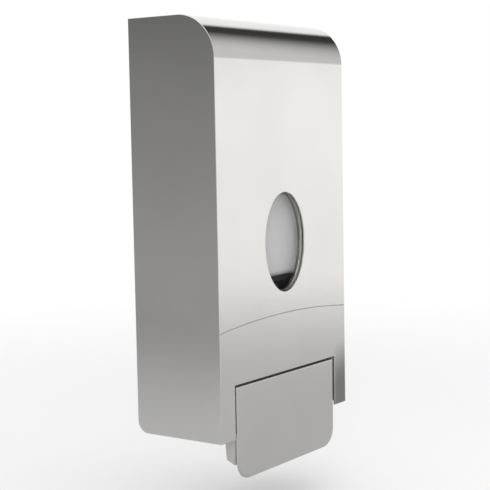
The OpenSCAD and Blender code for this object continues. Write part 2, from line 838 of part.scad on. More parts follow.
// Plunger: the hollow stem, the collar that the lever lifts, and the piston's head.
module plunger() color([0.82, 0.82, 0.8]) hang() translate([0, pump_y, 0]) difference() {
    union() {
        bar_z(stem_r, stem_low, head_z + over, 0, 0);
        bar_z(collar_r, collar_z, collar_z + collar_t, 0, 0);
        bar_z(bore_r - gap, head_z, head_z + head_h, 0, 0);
        bar_z(seal_in, head_z, head_top, 0, 0);
        bar_z(bore_r - 2 * gap, head_z + head_h + seal_h, head_top, 0, 0);
    }
    bar_z(stem_hole_r, stem_low - over, head_top + over, 0, 0);
}

// Piston seal: a rubber cup in the head's groove, with its lip upwards.
module piston_seal() color([0.1, 0.1, 0.1]) hang() translate([0, pump_y, head_z + head_h])
    rotate_extrude() polygon([
        [seal_in, 0],
        [bore_r - gap, 0],
        [bore_r - run, seal_h / 2],
        [bore_r - run, seal_h],
        [bore_r - gap - seal_lip, seal_h],
        [bore_r - gap - seal_lip, seal_h / 2],
        [seal_in, seal_h / 2]
    ]);

// Nozzle: a tapered spout pressed on the stem's lower end.
module nozzle() color([0.12, 0.12, 0.12]) hang() translate([0, pump_y, 0])
    rotate_extrude() polygon([
        [stem_r, stem_low + nozzle_grip],
        [nozzle_r, stem_low + nozzle_grip],
        [nozzle_r, stem_low - valve_h],
        [nozzle_tip_r, stem_low - nozzle_l],
        [spout_r, stem_low - nozzle_l],
        [spout_r, stem_low - valve_h],
        [stem_r, stem_low - valve_h]
    ]);

// Outlet valve: a rubber duckbill held between the stem and the nozzle's step.
module outlet_valve() color([0.7, 0.25, 0.15]) hang() translate([0, pump_y, 0])
    rotate_extrude() polygon([
        [valve_slit_r, stem_low],
        [stem_r, stem_low],
        [stem_r, stem_low - valve_h],
        [spout_r - run, stem_low - valve_h],
        [valve_slit_r, stem_low - 2 * valve_h]
    ]);

// Lock housing: a flanged barrel through the cover's top.
module lock_housing() color([0.75, 0.75, 0.74]) hang() translate([0, lock_y, 0]) difference() {
    union() {
        bar_z(lock_flange_r, case_h, lock_top, 0, 0);
        bar_z(lock_r, case_h - lock_l, lock_top, 0, 0);
    }
    bar_z(plug_r + run, case_h - lock_l - over, lock_top + over, 0, 0);
    bar_z(plug_head_r + run, lock_top - plug_head_t - run, lock_top + over, 0, 0);
}

// Nut that holds the housing under the cover's top.
module lock_nut() color([0.7, 0.7, 0.69]) hang() translate([0, lock_y, 0]) difference() {
    translate([0, 0, inner_top - lock_nut_t]) cylinder(r = lock_nut_r, h = lock_nut_t, $fn = 6);
    bar_z(lock_r, inner_top - lock_nut_t - over, inner_top + over, 0, 0);
}

// Lock plug: turned by the key, with a square end for the cam.
module lock_plug() color([0.6, 0.6, 0.59]) hang() translate([0, lock_y, 0]) difference() {
    union() {
        bar_z(plug_head_r, lock_top - plug_head_t, lock_top, 0, 0);
        bar_z(plug_r, plug_low, lock_top, 0, 0);
        block([-plug_square / 2, -plug_square / 2, cam_low],
            [plug_square / 2, plug_square / 2, plug_low + over]);
    }
    block([-key_w / 2, -key_l / 2, lock_top - key_deep],
        [key_w / 2, key_l / 2, lock_top + over]);
    bar_z(cam_screw_r, cam_low - over, cam_low + cam_screw_l, 0, 0);
}

// Lock cam: a bar on the plug's square end, here turned towards the wall, which is open.
module lock_cam() color([0.66, 0.66, 0.65]) hang()
    translate([0, lock_y, cam_low]) linear_extrude(cam_t) difference() {
        union() {
            circle(cam_hub_r);
            translate([-cam_w / 2, 0]) square([cam_w, cam_l - cam_w / 2]);
            translate([0, cam_l - cam_w / 2]) circle(cam_w / 2);
        }
        square(plug_square, center = true);
    }

// Screw that holds the cam on the plug.
module cam_screw() color([0.5, 0.5, 0.5]) hang() translate([0, lock_y, 0]) difference() {
    union() {
        bar_z(cam_head_r, cam_low - cam_head_t, cam_low, 0, 0);
        bar_z(cam_screw_r, cam_low - cam_head_t, cam_low + cam_screw_l, 0, 0);
    }
    translate([0, 0, cam_low - cam_head_t - over])
        cylinder(r = cam_screw_r, h = cam_head_t / 2 + over, $fn = 6);
}

// Push plate: flat sheet with round lower corners.
module lever_plate() color([0.68, 0.68, 0.67]) hang() along_y(front_y, front_y + plate_t)
    difference() {
        translate([-plate_w / 2, -lever_drop]) square([plate_w, plate_h]);
        for (turn = [0, 1]) mirror([turn, 0]) translate([-plate_w / 2, -lever_drop])
            mirror([0, 1]) corner_waste(plate_corner_r);
    }

// Places of the push plate's studs.
module plate_stud_places(y_from, y_to, r) for (side = [-1, 1], up = [0, 1])
    bar_y(r, y_from, y_to, side * stud_dx / 2, stud_low + up * stud_dz);

// Studs welded to the push plate and pressed into the lever's body.
module plate_studs() color([0.6, 0.6, 0.6]) hang()
    plate_stud_places(front_y + plate_t, front_y + plate_t + stud_l, stud_r);

// The lever's body from its side: upright behind, then leaning in to a round heel.
module lever_side() polygon(concat(
    [[body_front, -lever_sole], [body_front, body_top], [body_back, body_top], [body_back, 0]],
    [for (i = [0 : heel_steps]) [
        body_back - lever_lean - lever_heel_r + lever_heel_r * cos(90 * i / heel_steps),
        lever_rise - lever_sole + lever_heel_r - lever_heel_r * sin(90 * i / heel_steps)
    ]]
));

// The space inside the lever's body, open behind.
module lever_hollow() translate([body_front + lever_wall, lever_rise + lever_wall - lever_sole])
    square([lever_deep, body_top - 2 * lever_wall - lever_rise + lever_sole]);

// One arm of the fork, from the body's front wall to the round nose under the collar.
module fork_side() {
    polygon([
        [body_front, nose_z - fork_root],
        [body_front, nose_z + nose_r - fork_slack],
        [pump_y, nose_z + nose_r - fork_slack],
        [pump_y, nose_z - nose_r + fork_slack]
    ]);
    translate([pump_y, nose_z]) circle(nose_r);
}

// Lever body: a moulded box open behind, with pivot lugs, ribs and the fork.
module lever_body() color([0.62, 0.62, 0.61]) hang() difference() {
    union() {
        difference() {
            along_x(-plate_w / 2, plate_w / 2) lever_side();
            along_x(lever_wall - plate_w / 2, plate_w / 2 - lever_wall) lever_hollow();
        }
        block([groove_in - plate_w / 2, front_y + plate_t, groove_in - lever_sole],
            [plate_w / 2 - groove_in, body_front + over, body_top - groove_in]);
        both_sides() {
            bar_x(lever_lug_r, plate_w / 2 - lever_lug_w, plate_w / 2, pivot_y, pivot_z);
            block([plate_w / 2 - lever_lug_w, body_front, pivot_z - lever_lug_r],
                [plate_w / 2, pivot_y, body_top]);
            along_x(fork_in, fork_in + fork_w) fork_side();
            along_x(lever_rib_x, lever_rib_x + lever_rib_t) intersection() {
                lever_side();
                translate([body_front, -lever_sole])
                    square([lever_deep - 2 * lever_rib_t, lever_sole + body_top]);
            }
        }
        plate_stud_places(body_front, body_front + lever_wall + stud_boss_l, stud_boss_r);
    }
    plate_stud_places(front_y, body_front + lever_wall + stud_boss_l + over, stud_r);
    both_sides() bar_x(lever_pin_r + run, plate_w / 2 - lever_lug_w - over, plate_w / 2 + over,
        pivot_y, pivot_z);
}

back_plate();
lock_keeper();
keeper_rivets();
pump_bracket();
bracket_screws();
tank();
tank_lid();
lid_gasket();
vent_valve();
union_nut();
neck_seal();
pump_cylinder();
inlet_seat();
inlet_ball();
pump_gland();
return_spring();
plunger();
piston_seal();
nozzle();
outlet_valve();
cover_shell();
cover_studs();
cover_frame();
stud_nuts();
window_lens();
window_ring();
hinge_pins();
lever_pins();
lock_housing();
lock_nut();
lock_plug();
lock_cam();
cam_screw();
lever_body();
lever_plate();
plate_studs();
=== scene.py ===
import math

import bmesh
import bpy
from mathutils import Matrix, Vector


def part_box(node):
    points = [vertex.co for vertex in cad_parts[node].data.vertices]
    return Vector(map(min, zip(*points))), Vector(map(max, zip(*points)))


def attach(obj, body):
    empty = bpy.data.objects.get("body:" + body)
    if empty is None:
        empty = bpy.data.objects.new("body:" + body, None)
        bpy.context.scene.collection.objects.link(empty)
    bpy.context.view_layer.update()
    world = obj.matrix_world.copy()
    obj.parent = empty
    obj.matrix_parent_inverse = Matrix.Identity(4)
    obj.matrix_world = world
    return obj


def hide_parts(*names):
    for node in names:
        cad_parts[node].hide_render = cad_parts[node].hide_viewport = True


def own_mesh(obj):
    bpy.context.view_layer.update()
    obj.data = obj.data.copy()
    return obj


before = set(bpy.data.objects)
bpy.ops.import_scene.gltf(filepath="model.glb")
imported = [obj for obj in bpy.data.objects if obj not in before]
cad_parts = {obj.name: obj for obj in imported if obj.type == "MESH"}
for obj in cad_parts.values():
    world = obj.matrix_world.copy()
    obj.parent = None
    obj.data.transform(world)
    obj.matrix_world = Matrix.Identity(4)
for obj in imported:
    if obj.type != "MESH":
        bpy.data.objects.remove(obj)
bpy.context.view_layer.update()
bpy.context.scene.view_settings.view_transform = "Standard"

# Camera: a long lens at the front left, a little above the casing's middle, where the photograph
# was taken from. It meets the wall at 35 degrees and looks 5 degrees down.
FOCAL, PICTURE = 1261.78, 490  # focal length and picture's width in pixels
EYE = (-0.6935, -0.5288, 0.0421)  # metres
eye = bpy.data.cameras.new("camera")
eye.sensor_width = 36
eye.lens = 36 * FOCAL / PICTURE
eye.clip_start = 0.01
turned = Matrix.Rotation(math.radians(-54.555), 3, "Z")
tipped = Matrix.Rotation(math.radians(-5.199), 3, "X")
rolled = Matrix.Rotation(math.radians(1.064), 3, "Y")
stand = turned @ tipped @ rolled @ Matrix.Rotation(math.radians(90), 3, "X")
camera = bpy.data.objects.new("camera", eye)
camera.matrix_world = Matrix.Translation(EYE) @ stand.to_4x4()
bpy.context.scene.collection.objects.link(camera)
bpy.context.scene.camera = camera


# Studio air: a white room for the camera. The metal sees a bright room in front, a dark screen
# high at its right and a dim wall behind its left side.
def put(tree, kind, sockets=None, **settings):
    """Adds a node, sets its properties, and sets or links its inputs."""
    node = tree.nodes.new(kind)
    for name, value in settings.items():
        setattr(node, name, value)
    for name, value in (sockets or {}).items():
        if isinstance(value, bpy.types.NodeSocket):
            tree.links.new(value, node.inputs[name])
        else:
            node.inputs[name].default_value = value
    return node


def linear(code):
    """An sRGB hex colour as linear red, green, blue and alpha."""
    parts = [int(code[i:i + 2], 16) / 255 for i in (1, 3, 5)]
    return [c / 12.92 if c <= 0.04045 else ((c + 0.055) / 1.055) ** 2.4 for c in parts] + [1.0]


def ring(pairs):
    """A ring of the room's wall: its grey level at each compass angle from +X, -180 to 180."""
    node = put(air, "ShaderNodeValToRGB", {"Fac": round_about})
    ramp = node.color_ramp
    while len(ramp.elements) > 1:
        ramp.elements.remove(ramp.elements[-1])
    for i, (degrees, level) in enumerate(pairs):
        place = 0.5 + degrees / 360
        element = ramp.elements[0] if i == 0 else ramp.elements.new(place)
        element.position = place
        element.color = (level, level, level, 1)
    return node.outputs["Color"]


room = bpy.data.worlds.new("studio")
bpy.context.scene.world = room
room.use_nodes = True
air = room.node_tree
air.nodes.clear()
way = put(air, "ShaderNodeTexCoord").outputs["Generated"]
round_about = put(air, "ShaderNodeTexGradient", {"Vector": way},
                  gradient_type="RADIAL").outputs["Fac"]
height = put(air, "ShaderNodeSeparateXYZ", {"Vector": way}).outputs["Z"]
low_room = ring([(-180, 0.30), (-120, 0.45), (-80, 0.72), (-50, 0.72), (-30, 0.735), (3, 0.77),
                 (10, 0.85), (80, 0.70), (115, 0.27), (165, 0.26), (180, 0.30)])
eye_level = ring([(-180, 0.25), (-120, 0.45), (-80, 0.72), (-50, 0.75), (-30, 0.79), (10, 0.85),
                  (80, 0.70), (115, 0.18), (165, 0.17), (180, 0.25)])
high_room = ring([(-180, 0.22), (-140, 0.25), (-110, 0.36), (-70, 0.62), (-45, 0.50),
                  (-31, 0.49), (-25, 0.38), (-16, 0.165), (-9, 0.03), (6, 0.02), (10.2, 0.60),
                  (14, 0.70), (25, 0.68), (40, 0.66), (80, 0.60), (115, 0.12), (165, 0.12),
                  (180, 0.22)])
lower = put(air, "ShaderNodeMapRange", {"Value": height, "From Min": 0.04,
                                        "From Max": -0.12}).outputs["Result"]
near_walls = put(air, "ShaderNodeMix", {0: lower, 6: eye_level, 7: low_room}, data_type="RGBA")
rise = put(air, "ShaderNodeMapRange", {"Value": height, "From Min": 0.05, "From Max": 0.09},
           interpolation_type="SMOOTHSTEP").outputs["Result"]
walls = put(air, "ShaderNodeMix", {0: rise, 6: near_walls.outputs[2], 7: high_room},
            data_type="RGBA")
over = put(air, "ShaderNodeMapRange", {"Value": height, "From Min": 0.66, "From Max": 0.9},
           interpolation_type="SMOOTHSTEP").outputs["Result"]
ceiling = put(air, "ShaderNodeMix", {0: over, 6: walls.outputs[2], 7: (0.8, 0.8, 0.8, 1)},
              data_type="RGBA")
seen = put(air, "ShaderNodeLightPath").outputs["Is Camera Ray"]
lit = put(air, "ShaderNodeBackground", {"Color": ceiling.outputs[2], "Strength": 1.6})
white = put(air, "ShaderNodeBackground", {"Color": (1, 1, 1, 1), "Strength": 1.0})
shown = put(air, "ShaderNodeMixShader", {0: seen, 1: lit.outputs[0], 2: white.outputs[0]})
put(air, "ShaderNodeOutputWorld", {"Surface": shown.outputs[0]})

# Lamps: a wide soft box high behind the camera, which lights the plastics and casts the shadow,
# and a small one low beside it, which fills the window. The metal doesn't see either.
for name, width, tall, power, spot in (("soft_box", 1.3, 0.9, 6, (-1.45, -1.15, 0.75)),
                                       ("fill_box", 0.3, 0.3, 8, (-1.05, -0.78, 0.02))):
    glow = bpy.data.lights.new(name, "AREA")
    glow.shape = "RECTANGLE"
    glow.size = width
    glow.size_y = tall
    glow.energy = power
    lamp = bpy.data.objects.new(name, glow)
    lamp.location = spot
    aim = Vector(spot) - Vector((0, -0.07, 0))  # from the middle of the front to the lamp
    lamp.rotation_euler = aim.to_track_quat("Z", "Y").to_euler()
    lamp.visible_glossy = False
    bpy.context.scene.collection.objects.link(lamp)

# Flag: a small dark card on edge in front of the casing's lower right corner, which only the metal
# sees. It is a painted reflection that puts shade into the narrow strip beside the push plate.
CARD_X, CARD_BACK, CARD_FRONT = 0.0745, -0.0682, -0.0767  # metres
CARD_LOW, CARD_HIGH = -0.165, -0.100
card = bmesh.new()
for y, z in ((CARD_BACK, CARD_LOW), (CARD_FRONT, CARD_LOW), (CARD_FRONT, CARD_HIGH),
             (CARD_BACK, CARD_HIGH)):
    card.verts.new((CARD_X, y, z))
card.faces.new(card.verts)
card_mesh = bpy.data.meshes.new("flag")
card.to_mesh(card_mesh)
card.free()
flag = bpy.data.objects.new("flag", card_mesh)
bpy.context.scene.collection.objects.link(flag)
# Painted reflection: its black is densest low down and thins out upwards, so that the painted
# shade in the strip fades.
painted_dark_card = bpy.data.materials.new("painted_reflection_card")
painted_dark_card.use_nodes = True
tree = painted_dark_card.node_tree
tree.nodes.clear()
place = put(tree, "ShaderNodeTexCoord").outputs["Object"]
slope = put(tree, "ShaderNodeVectorMath", {0: place, 1: (0, -0.95, 1)}, operation="DOT_PRODUCT")
painted_fade = put(tree, "ShaderNodeMapRange", {"Value": slope.outputs["Value"], "From Min": -0.037,
                                         "From Max": -0.069, "To Max": 0.57},
            interpolation_type="SMOOTHSTEP").outputs["Result"]
clear = put(tree, "ShaderNodeBsdfTransparent")
black = put(tree, "ShaderNodeEmission", {"Strength": 0.0})
thin = put(tree, "ShaderNodeMixShader", {0: painted_fade, 1: clear.outputs[0], 2: black.outputs[0]})
put(tree, "ShaderNodeOutputMaterial", {"Surface": thin.outputs[0]})
flag.data.materials.append(painted_dark_card)
flag.visible_camera = False
flag.visible_diffuse = False
flag.visible_transmission = False
flag.visible_shadow = False

# Floor: a pale sheet a little under the lever, which keeps the soft shadow. It fades into the
# white room. The metal sees it as a painted mid grey, with painted shade darker towards the left.
GROUND = (0, 0, -0.212)  # metres: the spot on the floor under the frame's origin
slab = bmesh.new()
bmesh.ops.create_grid(slab, x_segments=1, y_segments=1, size=6)
bmesh.ops.translate(slab, vec=GROUND, verts=slab.verts)
floor_mesh = bpy.data.meshes.new("floor")
slab.to_mesh(floor_mesh)
slab.free()
floor = bpy.data.objects.new("floor", floor_mesh)
bpy.context.scene.collection.objects.link(floor)
paper = bpy.data.materials.new("pale_paper")
paper.use_nodes = True
tree = paper.node_tree
tree.nodes.clear()
place = put(tree, "ShaderNodeTexCoord").outputs["Object"]
distance = put(tree, "ShaderNodeVectorMath", {0: place, 1: GROUND}, operation="DISTANCE")
near = put(tree, "ShaderNodeMapRange", {"Value": distance.outputs["Value"], "From Min": 0.25,
                                        "From Max": 1.1, "To Min": 0.2},
           interpolation_type="SMOOTHSTEP")
away = put(tree, "ShaderNodeMapRange", {"Value": distance.outputs["Value"], "From Min": 0.35,
                                        "From Max": 1.5}, interpolation_type="SMOOTHSTEP")
seen = put(tree, "ShaderNodeLightPath").outputs["Is Camera Ray"]
# Painted shade: for every ray but the camera's, the floor's grey is darker towards the left.
across = put(tree, "ShaderNodeSeparateXYZ", {"Vector": place}).outputs["X"]
painted_left_shade = put(tree, "ShaderNodeMapRange", {"Value": across, "From Min": -0.3,
                                          "From Max": -0.7}).outputs["Result"]
for_mirror = put(tree, "ShaderNodeMix", {0: painted_left_shade, 6: linear("#d2d2d2"),
                                         7: linear("#a8a8a8")}, data_type="RGBA")
for_camera = put(tree, "ShaderNodeMix", {0: seen, 6: for_mirror.outputs[2],
                                         7: linear("#fafafa")}, data_type="RGBA")
matte = put(tree, "ShaderNodeBsdfDiffuse", {"Color": for_camera.outputs[2]})
white = put(tree, "ShaderNodeEmission", {"Color": (1, 1, 1, 1), "Strength": 1.0})
open_air = put(tree, "ShaderNodeBsdfTransparent")
for_eye = put(tree, "ShaderNodeMixShader", {0: near.outputs["Result"], 1: matte.outputs[0],
                                            2: white.outputs[0]})
for_metal = put(tree, "ShaderNodeMixShader", {0: away.outputs["Result"], 1: matte.outputs[0],
                                              2: open_air.outputs[0]})
both = put(tree, "ShaderNodeMixShader", {0: seen, 1: for_metal.outputs[0],
                                         2: for_eye.outputs[0]})
under = put(tree, "ShaderNodeNewGeometry").outputs["Backfacing"]
one_sided = put(tree, "ShaderNodeMixShader", {0: under, 1: both.outputs[0],
                                              2: open_air.outputs[0]})
put(tree, "ShaderNodeOutputMaterial", {"Surface": one_sided.outputs[0]})
floor.data.materials.append(paper)

# Back plate: pressed from 1.5 mm zinc-plated steel, with side flanges, hinge lugs and a top lip.
# It is screwed to the wall and carries everything else.
LIFT = 0.153  # from the casing's lower edge up to the middle of the wall holes


def at(x, y, z):
    """A point in millimetres, with its height counted from the casing's lower edge."""
    return Vector((x / 1000, y / 1000, z / 1000 - LIFT))


def new_material(name):
    """An empty material, with its tree and the place of the piece's surface in millimetres."""
    material = bpy.data.materials.new(name)
    material.use_nodes = True
    tree = material.node_tree
    tree.nodes.clear()
    coords = put(tree, "ShaderNodeTexCoord").outputs["Object"]
    grid = put(tree, "ShaderNodeVectorMath", {0: coords, "Scale": 1000.0}, operation="SCALE")
    return material, tree, grid.outputs[0]


def grain(tree, vector, size, depth, detail=3.0, roughness=0.5):
    """A bump from noise, with the size of its grain and its depth in millimetres."""
    noise = put(tree, "ShaderNodeTexNoise", {"Vector": vector, "Scale": 1 / size,
                                             "Detail": detail, "Roughness": roughness})
    return put(tree, "ShaderNodeBump", {"Height": noise.outputs["Fac"], "Strength": 1.0,
                                        "Distance": depth / 1000}).outputs["Normal"]


def spread(tree, vector, size, low, high, detail=2.0):
    """A value that wanders between low and high over spots of that size in millimetres."""
    noise = put(tree, "ShaderNodeTexNoise", {"Vector": vector, "Scale": 1 / size,
                                             "Detail": detail})
    return put(tree, "ShaderNodeMapRange", {"Value": noise.outputs["Fac"], "From Min": 0.3,
                                            "From Max": 0.7, "To Min": low,
                                            "To Max": high}).outputs["Result"]


def between(tree, amount, first, second):
    """A colour that changes with amount from the first hex colour to the second."""
    mixed = put(tree, "ShaderNodeMix", {0: amount, 6: linear(first), 7: linear(second)},
                data_type="RGBA")
    return mixed.outputs[2]


def close(tree, **sockets):
    """The principled shader with these inputs, and the material's output."""
    names = {name.replace("_", " "): value for name, value in sockets.items()}
    shader = put(tree, "ShaderNodeBsdfPrincipled", names)
    put(tree, "ShaderNodeOutputMaterial", {"Surface": shader.outputs[0]})


def settle(obj):
    """Works the piece's modifiers into its mesh."""
    graph = bpy.context.evaluated_depsgraph_get()
    mesh = bpy.data.meshes.new_from_object(obj.evaluated_get(graph))
    obj.modifiers.clear()
    obj.data = mesh


def fit(name, solid, body, nodes, material, edge_mm=0.0, steps=2, angle=30,
        crease=35):
    """Makes a bmesh a finished piece: rounds its edges, shades it and ties it to its body.

    Edges sharper than angle are rounded, and those sharper than crease stay crisp, in degrees.
    """
    bmesh.ops.remove_doubles(solid, verts=solid.verts, dist=1e-6)
    mesh = bpy.data.meshes.new(name)
    solid.to_mesh(mesh)
    solid.free()
    mesh.shade_smooth()
    mesh.set_sharp_from_angle(angle=math.radians(crease))
    piece = bpy.data.objects.new(name, mesh)
    bpy.context.scene.collection.objects.link(piece)
    if edge_mm:
        round_off = piece.modifiers.new("round_off", "BEVEL")
        round_off.width = edge_mm / 1000
        round_off.segments = steps
        round_off.limit_method = "ANGLE"
        round_off.angle_limit = math.radians(angle)
        round_off.use_clamp_overlap = True
    level = piece.modifiers.new("level", "WEIGHTED_NORMAL")
    level.keep_sharp = True
    settle(piece)
    piece.data.materials.clear()
    piece.data.materials.append(material)
    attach(piece, body)
    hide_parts(*nodes)
    return piece


def solid_of(node):
    """A CAD node's solid as a clean bmesh, with flat faces in one piece."""
    solid = bmesh.new()
    solid.from_mesh(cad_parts[node].data)
    bmesh.ops.remove_doubles(solid, verts=solid.verts, dist=2e-6)
    bmesh.ops.dissolve_limit(solid, angle_limit=math.radians(0.6), verts=solid.verts,
                             edges=solid.edges)
    return solid


# Zinc-plated and clear-passivated steel: a dull bluish bright metal with faint cloudy patches.
zinc, tree, mm = new_material("zinc_plated_steel")
cloud = spread(tree, mm, 14, 0.0, 1.0, detail=4)
close(tree, Base_Color=between(tree, cloud, "#a9adb1", "#bcc0c2"), Metallic=1.0,
      Roughness=spread(tree, mm, 3, 0.34, 0.46), Normal=grain(tree, mm, 0.35, 0.006))
fit("wall_plate", solid_of("back_plate"), "base", ["back_plate"], zinc, 0.25)

# Keeper: a zinc-plated angle riveted to the back plate, whose lip the lock's cam turns behind.
# Its two rivets are bare aluminium with flat domed heads.
fit("keeper_angle", solid_of("lock_keeper"), "base", ["lock_keeper"], zinc, 0.25)

# Bare aluminium, cold headed: pale, soft and slightly streaky.
alloy, tree, mm = new_material("headed_aluminium")
close(tree, Base_Color=linear("#c4c6c8"), Metallic=1.0,
      Roughness=spread(tree, mm, 0.8, 0.28, 0.42), Normal=grain(tree, mm, 0.2, 0.004))
fit("keeper_rivet_heads", solid_of("keeper_rivets"), "base", ["keeper_rivets"],
    alloy, 0.3, 3)

# Bracket: a black glass-filled moulding with two gussets, on which the tank's neck rests.
# Two slotted steel screws hold it to the back plate.
# Glass-filled nylon, moulded: near black, dull, with a fine even texture.
nylon, tree, mm = new_material("glass_filled_nylon")
close(tree, Base_Color=between(tree, spread(tree, mm, 5, 0, 1), "#161616", "#1d1d1e"),
      Roughness=spread(tree, mm, 2, 0.46, 0.6), IOR=1.53, Normal=grain(tree, mm, 0.3, 0.012))
fit("neck_shelf", solid_of("pump_bracket"), "base", ["pump_bracket"], nylon, 0.4)

# Turned steel, lightly oiled: fine rings from the lathe are too small to show, so a fine grain.
turned_steel, tree, mm = new_material("turned_steel")
close(tree, Base_Color=linear("#a6a6a8"), Metallic=1.0,
      Roughness=spread(tree, mm, 1, 0.22, 0.36), Normal=grain(tree, mm, 0.15, 0.003))
fit("shelf_screws", solid_of("bracket_screws"), "base", ["bracket_screws"],
    turned_steel, 0.2)

# Tank: one litre, blown in natural polyethylene, with a filling mouth above and a threaded neck
# below. It stands on the bracket's shelf.
# Natural polyethylene, moulded: milky and waxy, and light goes a little way into it.
milky, tree, mm = new_material("natural_polyethylene")
close(tree, Base_Color=between(tree, spread(tree, mm, 18, 0, 1), "#aaaaaa", "#b0b0b0"),
      Roughness=spread(tree, mm, 6, 0.34, 0.46), IOR=1.51, Subsurface_Weight=0.2,
      Subsurface_Radius=(1.0, 1.0, 1.0), Subsurface_Scale=0.004,
      Normal=grain(tree, mm, 0.8, 0.02))
fit("soap_tank", solid_of("tank"), "base", ["tank"], milky, 0.4, 3)

# Lid: a cap pressed over the mouth's rim, with a tab for the thumb, a gasket under it and a
# rubber vent valve through it.
# Polypropylene, moulded dark grey: smooth with a slight sheen.
dark_cap, tree, mm = new_material("dark_polypropylene")
close(tree, Base_Color=between(tree, spread(tree, mm, 6, 0, 1), "#3a3b3d", "#424345"),
      Roughness=spread(tree, mm, 3, 0.36, 0.48), IOR=1.49, Normal=grain(tree, mm, 0.5, 0.01))
fit("filling_lid", solid_of("tank_lid"), "base", ["tank_lid"], dark_cap, 0.4)

# Nitrile rubber, pressed: black, matt and a little dusty.
nitrile, tree, mm = new_material("nitrile_rubber")
close(tree, Base_Color=between(tree, spread(tree, mm, 2, 0, 1), "#1a1a1a", "#242423"),
      Roughness=spread(tree, mm, 1, 0.62, 0.78), IOR=1.52, Normal=grain(tree, mm, 0.25, 0.012))
fit("mouth_gasket", solid_of("lid_gasket"), "base", ["lid_gasket"], nitrile, 0.15)
fit("vent_button", solid_of("vent_valve"), "base", ["vent_valve"], nitrile, 0.3)

# Pump's fixed pieces: the union nut that screws on the tank's neck, its washer, the cylinder
# with the inlet valve's cage, the seat and ball, and the gland that guides the stem.
fit("ribbed_nut", solid_of("union_nut"), "base", ["union_nut"], nylon, 0.3)
fit("neck_washer", solid_of("neck_seal"), "base", ["neck_seal"], nitrile, 0.15)

# Acetal, moulded in its natural white: smooth, a little waxy.
acetal, tree, mm = new_material("natural_acetal")
close(tree, Base_Color=between(tree, spread(tree, mm, 4, 0, 1), "#d8d7d2", "#e0dfda"),
      Roughness=spread(tree, mm, 2, 0.26, 0.36), IOR=1.48, Normal=grain(tree, mm, 0.6, 0.006))
fit("pump_tube", solid_of("pump_cylinder"), "base", ["pump_cylinder"], acetal, 0.25)
fit("valve_seat", solid_of("inlet_seat"), "base", ["inlet_seat"], acetal, 0.2)

# Ball bearing steel, ground and polished: a near mirror with very fine haze.
bearing_steel, tree, mm = new_material("polished_ball_steel")
close(tree, Base_Color=linear("#c2c3c5"), Metallic=1.0,
      Roughness=spread(tree, mm, 0.5, 0.06, 0.12))
fit("valve_ball", solid_of("inlet_ball"), "base", ["inlet_ball"], bearing_steel)
fit("stem_gland", solid_of("pump_gland"), "base", ["pump_gland"], nylon, 0.3)

# Return spring: six turns of round stainless wire between the gland and the plunger's collar.
# It pushes the plunger and the lever back.
# Drawn spring wire: bright, with its drawing marks shown as a fine even grain.
wire_metal, tree, mm = new_material("drawn_spring_wire")
close(tree, Base_Color=linear("#b7b7b8"), Metallic=1.0,
      Roughness=spread(tree, mm, 0.3, 0.2, 0.34), Normal=grain(tree, mm, 0.12, 0.003))
PUMP_Y = -36  # the pump's axis in millimetres
COIL_R, WIRE_R, COIL_LOW, COIL_RISE = 8, 0.55, 34.7, 16.7  # radii, lowest turn, rise to the top
TURNS, COIL_STEPS = 6, 216
coil = bmesh.new()
bmesh.ops.create_circle(coil, segments=12, radius=WIRE_R / 1000, cap_ends=True)
bmesh.ops.rotate(coil, cent=(0, 0, 0), matrix=Matrix.Rotation(math.radians(90), 3, "X"),
                 verts=coil.verts)
bmesh.ops.translate(coil, vec=at(COIL_R, PUMP_Y, COIL_LOW), verts=coil.verts)
bmesh.ops.spin(coil, geom=coil.faces[:], cent=at(0, PUMP_Y, 0), axis=(0, 0, 1),
               dvec=(0, 0, COIL_RISE / 1000 / COIL_STEPS), angle=math.radians(360 * TURNS),
               steps=COIL_STEPS, use_duplicate=False)
bmesh.ops.recalc_face_normals(coil, faces=coil.faces)
spring = fit("wire_spring", coil, "base", ["return_spring"], wire_metal,
             crease=50)
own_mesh(spring)

# Plunger: a hollow stem with the collar that the lever's fork lifts, its rubber cup seal, and at
# the lower end the nozzle with a silicone drip valve.
fit("stem_and_collar", solid_of("plunger"), "piston", ["plunger"], acetal, 0.25)
fit("cup_seal", solid_of("piston_seal"), "piston", ["piston_seal"], nitrile)
fit("spout", solid_of("nozzle"), "piston", ["nozzle"], nylon, 0.3, angle=40)

# Silicone rubber, moulded brick red: soft sheen, slightly see-through at its lips.
silicone, tree, mm = new_material("red_silicone")
close(tree, Base_Color=linear("#8f3a28"), Roughness=spread(tree, mm, 1, 0.42, 0.55), IOR=1.41,
      Subsurface_Weight=0.1, Subsurface_Scale=0.002)
fit("drip_valve", solid_of("outlet_valve"), "piston", ["outlet_valve"], silicone)

# Cover: one folded sheet of 1 mm stainless steel, welded and ground at its folds, with an oval
# window, an arc groove across the front and a notch for the push plate.
# Stainless steel, satin finished: its fine upright grain is 0.05 mm across on the real sheet
# and is drawn coarser here.
HALF_W, DEPTH, TALL, SHEET_T = 75, 68, 267, 1  # outside of the cover, and its sheet's thickness
TOP_R, HEEL_R, FOLD_R, RIM_R = 28, 8, 0.6, 0.2
WALL_GAP = 0.5
HEEL_FRONT = -0.0089  # metres: just in front of the heel's round
NOTCH_X, NOTCH_TOP = 59.9, 34.9
OVAL_X, OVAL_Z, OVAL_UP = 23.3, 33, 121  # half width, half height and height of the middle
LOCK_R, LOCK_Y = 6.05, -22
GROOVE_R, GROOVE_UP, ARC_UP, ARC_DEG = 0.58, 74, -566, 14  # the arc's middle is far below
satin, tree, mm = new_material("satin_stainless_steel")
drawn = put(tree, "ShaderNodeMapping", {"Vector": mm, "Scale": (1.0, 1.0, 0.02)}).outputs[0]
patch = spread(tree, mm, 60, 0.0, 1.0)
close(tree, Base_Color=between(tree, patch, "#d2d1cf", "#d7d6d4"), Metallic=1.0,
      Roughness=spread(tree, drawn, 0.5, 0.10, 0.14),
      Normal=grain(tree, drawn, 0.3, 0.0002))


